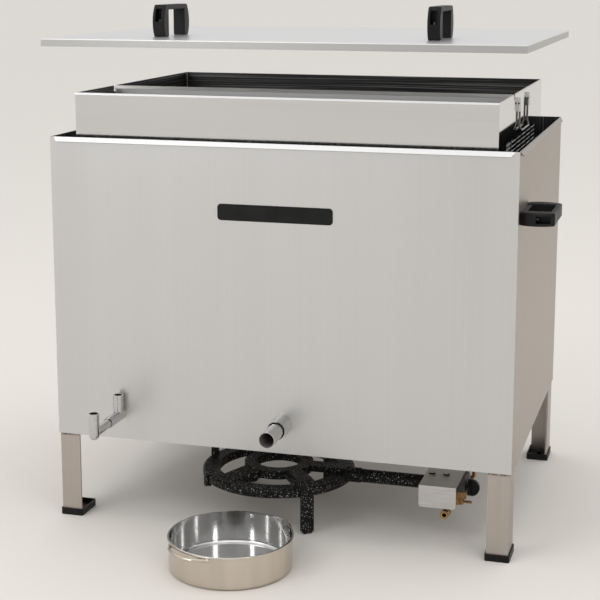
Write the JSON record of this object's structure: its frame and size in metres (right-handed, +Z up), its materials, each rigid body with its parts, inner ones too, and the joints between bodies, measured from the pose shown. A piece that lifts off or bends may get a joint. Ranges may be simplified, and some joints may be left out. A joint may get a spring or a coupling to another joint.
{
  "type": "wax melter",
  "caption": "Stainless water tank on angle legs with a divided lift-out box, a lid, a gas ring below and a catch pan, used to melt beeswax.",
  "frame": {"origin": "on the floor, under the centre of the box that bounds the whole set", "axes": "+Z up, -Y out of the front panel with the spout, +X to the right seen from the front"},
  "size_m": [0.852, 0.7872, 0.8413],
  "materials": {
    "brushed_stainless": "fine brushed",
    "stainless_tube": "satin",
    "stainless_rod": "drawn",
    "polished_stainless": "mirror polished",
    "shield_steel": "dull rolled sheet",
    "plated_fastener": "zinc plated",
    "black_plastic": "moulded satin",
    "black_enamel": "speckled black enamel",
    "valve_metal": "dark oxide",
    "brass": "machined",
    "copper": "drawn copper tube",
    "seal_rubber": "matt"
  },
  "bodies": {
    "tank": {"tank_front_panel": "brushed_stainless", "tank_rear_panel": "brushed_stainless", "tank_left_panel": "brushed_stainless", "tank_right_panel": "brushed_stainless", "tank_floor": "brushed_stainless", "left_ledge": "brushed_stainless", "right_ledge": "brushed_stainless", "front_left_leg": "brushed_stainless", "front_right_leg": "brushed_stainless", "rear_left_leg": "brushed_stainless", "rear_right_leg": "brushed_stainless", "front_left_foot": "black_plastic", "front_right_foot": "black_plastic", "rear_left_foot": "black_plastic", "rear_right_foot": "black_plastic", "left_tank_handle": "black_plastic", "right_tank_handle": "black_plastic", "tank_handle_screws": "plated_fastener", "tank_handle_nuts": "plated_fastener", "wax_outlet_socket": "stainless_tube", "wax_outlet_seal": "seal_rubber", "level_socket": "stainless_tube", "level_seal": "seal_rubber"},
    "lift_out_box": {"box_front_wall": "brushed_stainless", "box_rear_wall": "brushed_stainless", "box_left_wall": "brushed_stainless", "box_right_wall": "brushed_stainless", "box_floor": "brushed_stainless", "box_partition": "brushed_stainless", "box_handle_eyes": "stainless_rod"},
    "lid": {"lid_panel": "brushed_stainless", "lid_edge_strips": "brushed_stainless", "left_lid_handle": "black_plastic", "right_lid_handle": "black_plastic", "lid_handle_screws": "plated_fastener", "lid_handle_nuts": "plated_fastener"},
    "left_drop_handle": {"box_left_drop_handle": "stainless_rod"},
    "right_drop_handle": {"box_right_drop_handle": "stainless_rod"},
    "wax_spout": {"wax_spout": "stainless_tube"},
    "level_elbow": {"level_elbow": "stainless_tube"},
    "gas_ring": {"burner_casting": "black_enamel", "burner_front_leg": "black_enamel", "burner_rear_leg": "black_enamel", "burner_left_leg": "black_enamel", "burner_leg_bolts": "plated_fastener", "mixer_tube": "black_enamel", "gas_jet": "brass", "valve_body": "valve_metal", "hose_nozzle": "brass", "test_nipple": "brass", "flame_probe_lead": "copper", "valve_shield": "shield_steel", "shield_screws": "plated_fastener"},
    "valve_knob": {"valve_knob": "black_plastic"},
    "catch_pan": {"catch_pan_bowl": "polished_stainless", "catch_pan_left_ear": "polished_stainless", "catch_pan_right_ear": "polished_stainless"}
  },
  "joints": [
    {"name": "box_lift", "type": "slide", "parent": "tank", "child": "lift_out_box", "axis": [0, 0, 1], "range_m": [-0.077, 0.34]},
    {"name": "lid_lift", "type": "slide", "parent": "lift_out_box", "child": "lid", "axis": [0, 0, 1], "range_m": [-0.0765, 0.1]},
    {"name": "left_drop_handle_swing", "type": "hinge", "parent": "lift_out_box", "child": "left_drop_handle", "pos_m": [-0.3423, 0.11109, 0.687], "axis": [0, 1, 0], "range_deg": [0, 180]},
    {"name": "right_drop_handle_swing", "type": "hinge", "parent": "lift_out_box", "child": "right_drop_handle", "pos_m": [0.3423, 0.11109, 0.687], "axis": [0, -1, 0], "range_deg": [0, 180]},
    {"name": "wax_spout_pull", "type": "slide", "parent": "tank", "child": "wax_spout", "axis": [0, -1, 0], "range_m": [0, 0.06]},
    {"name": "level_elbow_turn", "type": "hinge", "parent": "tank", "child": "level_elbow", "pos_m": [-0.263, -0.27091, 0.184], "axis": [0, 1, 0], "continuous": true},
    {"name": "gas_ring_slide", "type": "slide", "parent": "tank", "child": "gas_ring", "axis": [0, 1, 0], "range_m": [0, 0.4]},
    {"name": "valve_knob_turn", "type": "hinge", "parent": "gas_ring", "child": "valve_knob", "pos_m": [0.285, -0.02891, 0.0665], "axis": [1, 0, 0], "range_deg": [0, 90]},
    {"name": "catch_pan_slide", "type": "slide", "parent": "tank", "child": "catch_pan", "axis": [0, -1, 0], "range_m": [0, 0.25]}
  ]
}
